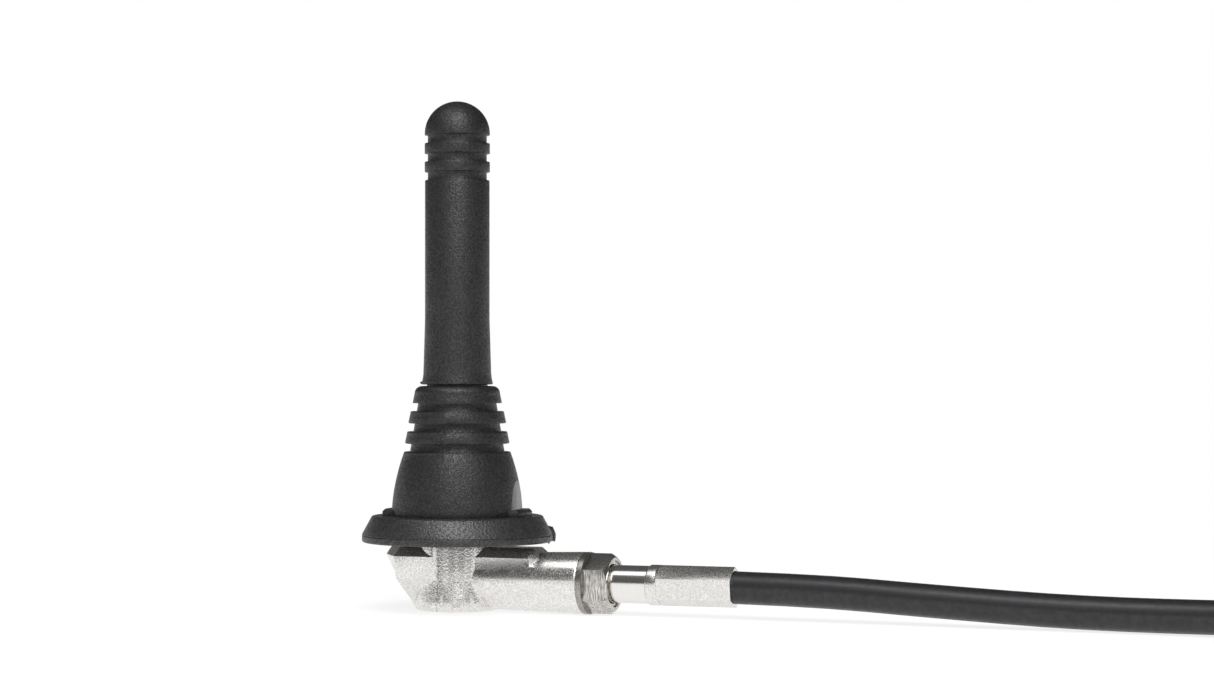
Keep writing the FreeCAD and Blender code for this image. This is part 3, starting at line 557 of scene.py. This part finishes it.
for row in dressed:
    piece = finish(bevelled(row["node"], row["piece"], row["edge"]), row["finish"])
    if row["node"] == "base_cone":
        finishFlats(piece)
    if row["node"] == "base_gasket":
        tearStub(piece)
    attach(piece, row["body"])
    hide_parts(row["node"])
print("edges rounded")


# small nib of flash at the whip's lower edge

nib = {
    "place": (-5.10 * mm, -1.96 * mm, 24.6 * mm),
    "radius": 0.3 * mm,
    "squash": (1, 1, 0.75),
    "fineness": 3,
    "roughness": 0.09 * mm,
    "seed": 2,
    "smoothing": 0.5,
    "smoothBelow": 60,  # degrees
}


def makeNib():
    deselectAll()
    bpy.ops.mesh.primitive_ico_sphere_add(subdivisions=nib["fineness"], radius=nib["radius"],
                                          location=nib["place"], scale=nib["squash"])
    piece = applyPlace(nameIt("mouldNib"))
    editAll(piece)
    bpy.ops.transform.vertex_random(offset=nib["roughness"], seed=nib["seed"])
    bpy.ops.mesh.vertices_smooth(factor=nib["smoothing"])
    leaveEdit()
    smooth(finish(piece, "mouldedPlastic"), nib["smoothBelow"])
    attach(piece, "whip")


makeNib()
print("nib added")


# threads, each a ridge wound on the plain cylinder of its CAD piece, with lengths in mm

threads = [
    {"piece": "jackThread", "body": "foot", "slot": "plated_brass", "finish": "turnedNickel", "along": "X",
     "place": (150.5, 29.5, 19.95), "length": 5.9, "radius": 3.95, "pitch": 0.75, "proud": 0.16},
    {"piece": "studThread", "body": "whip", "slot": "brass", "finish": "turnedBrass", "along": "Z",
     "place": (0.0, 0.0, 19.8), "length": 3.9, "radius": 2.3, "pitch": 0.8, "proud": 0.15},
]
threadRidge = {
    "halfWidth": 0.46,  # of the pitch
    "steps": 48,
    "smoothBelow": 30,  # degrees
}


def makeThread(row):
    half = row["pitch"] * threadRidge["halfWidth"]
    steps = threadRidge["steps"]
    deselectAll()
    bpy.ops.mesh.primitive_circle_add(vertices=4, radius=half * mm, location=(row["radius"] * mm, 0, 0),
                                      rotation=(math.radians(90), 0, 0))
    piece = applyPlace(nameIt(row["piece"]))
    editAll(piece)
    bpy.ops.transform.resize(value=(row["proud"] / half, 1, 1), center_override=(row["radius"] * mm, 0, 0))
    leaveEdit()
    applyModifier(piece, "SCREW", axis="Z", angle=2 * math.pi, screw_offset=row["pitch"] * mm,
                  iterations=round(row["length"] / row["pitch"]), steps=steps, render_steps=steps,
                  use_merge_vertices=False)
    bpy.ops.object.mode_set(mode="EDIT")
    bpy.ops.mesh.select_all(action="DESELECT")
    bpy.ops.mesh.select_non_manifold()
    bpy.ops.mesh.fill()
    bpy.ops.mesh.select_all(action="SELECT")
    bpy.ops.mesh.normals_make_consistent(inside=False)
    leaveEdit()
    if row["along"] == "X":
        piece.rotation_euler = (0, math.radians(90), 0)
    piece.location = [value * mm for value in row["place"]]
    applyPlace(piece)
    smooth(piece, threadRidge["smoothBelow"])
    finish(piece, row["finish"])
    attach(piece, row["body"])


for row in threads:
    makeThread(row)
print("threads wound")


# finishes of the CAD pieces that are shown as they are

nodeFinishes = {
    "turnedNickel": ["connector_body"],
    "springSteel": ["lock_washer"],
    "gasketRubber": ["whip_seal"],
    "whiteInsulator": ["post_insulator", "connector_insulator", "jack_insulator", "coil_former"],
    "turnedBrass": ["contact_pin", "connector_pin", "jack_contact", "thread_insert", "contact_socket",
                    "whip_stud", "radiator_coil"],
    "tieNylon": ["cable_tie_1", "cable_tie_2"],
}
for finishName, nodeNames in nodeFinishes.items():
    for nodeName in nodeNames:
        finish(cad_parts[nodeName], finishName)


# floor, world and lamps

studio = {
    "floorSize": 8.0,
    "floorTint": (0.92, 0.92, 0.92),
    "whiteNear": 0.8,  # share of plain white in the floor that the camera sees, near the object
    "mirroredNear": 0.85,  # the same share in the floor that the metal reflects
    "whiteFrom": 0.09,  # both shares rise to all white between these distances from the object
    "whiteBy": 0.26,
    "wallDistance": 1.6,
    "wallHeight": 0.26,
    "wallSides": 96,
    "worldDiffuse": 0.6,  # strength of the world as light
    "worldGlossy": 0.09,  # and as something that is reflected
}


def addGlow(tree, shader, share):
    glow = addNode(tree, "Emission").outputs[0]
    both = addNode(tree, "MixShader", {"Fac": share, 1: shader.outputs[0], 2: glow}).outputs[0]
    tree.links.new(both, tree.nodes["Material Output"].inputs["Surface"])


def makeFloor():
    deselectAll()
    bpy.ops.mesh.primitive_plane_add(size=studio["floorSize"], location=(0, 0, floorLevel))
    floor = applyPlace(nameIt("floor"))
    material, tree, shader = newMaterial("paleFloor", studio["floorTint"], specular=0.0)
    shader.inputs["Base Color"].default_value = (*studio["floorTint"], 1)
    shader.inputs["Roughness"].default_value = 1.0
    away = addNode(tree, "VectorMath", {0: objectPlace(tree)}, operation="LENGTH").outputs["Value"]
    far = ramp(tree, away, studio["whiteFrom"], studio["whiteBy"], interpolation_type="SMOOTHSTEP")
    path = addNode(tree, "LightPath").outputs
    seen = reckon(tree, "MULTIPLY", path["Is Camera Ray"], ramp(tree, far, low=studio["whiteNear"]))
    mirrored = ramp(tree, far, low=studio["mirroredNear"])
    addGlow(tree, shader, reckon(tree, "MULTIPLY_ADD", path["Is Glossy Ray"], mirrored, seen))
    floor.data.materials.append(material)


# low white wall all round, which the metal and the spanner flats reflect
def makeWall():
    deselectAll()
    bpy.ops.mesh.primitive_cylinder_add(vertices=studio["wallSides"], radius=studio["wallDistance"],
                                        depth=studio["wallHeight"], end_fill_type="NOTHING",
                                        location=(0, 0, floorLevel + studio["wallHeight"] / 2))
    wall = applyPlace(nameIt("wall"))
    material, tree, shader = newMaterial("whiteWall", studio["floorTint"], specular=0.0)
    path = addNode(tree, "LightPath").outputs
    addGlow(tree, shader, reckon(tree, "ADD", path["Is Camera Ray"], path["Is Glossy Ray"]))
    wall.data.materials.append(material)


def makeWorld():
    world = bpy.data.worlds.new("studio")
    bpy.context.scene.world = world
    world.use_nodes = True
    tree = world.node_tree
    path = addNode(tree, "LightPath").outputs
    dim = ramp(tree, path["Is Glossy Ray"], low=studio["worldDiffuse"], high=studio["worldGlossy"])
    back = tree.nodes["Background"]
    back.inputs["Color"].default_value = (1, 1, 1, 1)
    tree.links.new(reckon(tree, "MAXIMUM", path["Is Camera Ray"], dim), back.inputs["Strength"])


lamps = [
    {"name": "keyBox", "place": (-0.1, -0.30, 0.86), "aim": (0, 0, 0.02),
     "size": (1.1, 0.42), "watts": 2.0},
    {"name": "fillBox", "place": (0.32, -0.64, 0.56), "aim": (0, 0, 0.02),
     "size": (0.65, 0.45), "watts": 3.4},
    {"name": "highBox", "place": (0.17, -0.42, 0.78), "aim": (0, 0, 0.03),
     "size": (0.45, 0.35), "watts": 3.4},
]


def makeLamps():
    for lamp in lamps:
        data = bpy.data.lights.new(lamp["name"], "AREA")
        data.shape = "RECTANGLE"
        data.size, data.size_y = lamp["size"]
        data.energy = lamp["watts"]
        light = bpy.data.objects.new(lamp["name"], data)
        light.location = lamp["place"]
        toward = Vector(lamp["aim"]) - Vector(lamp["place"])
        light.rotation_euler = toward.to_track_quat("-Z", "Y").to_euler()
        bpy.context.collection.objects.link(light)


makeFloor()
makeWall()
makeWorld()
makeLamps()
print("studio lit")
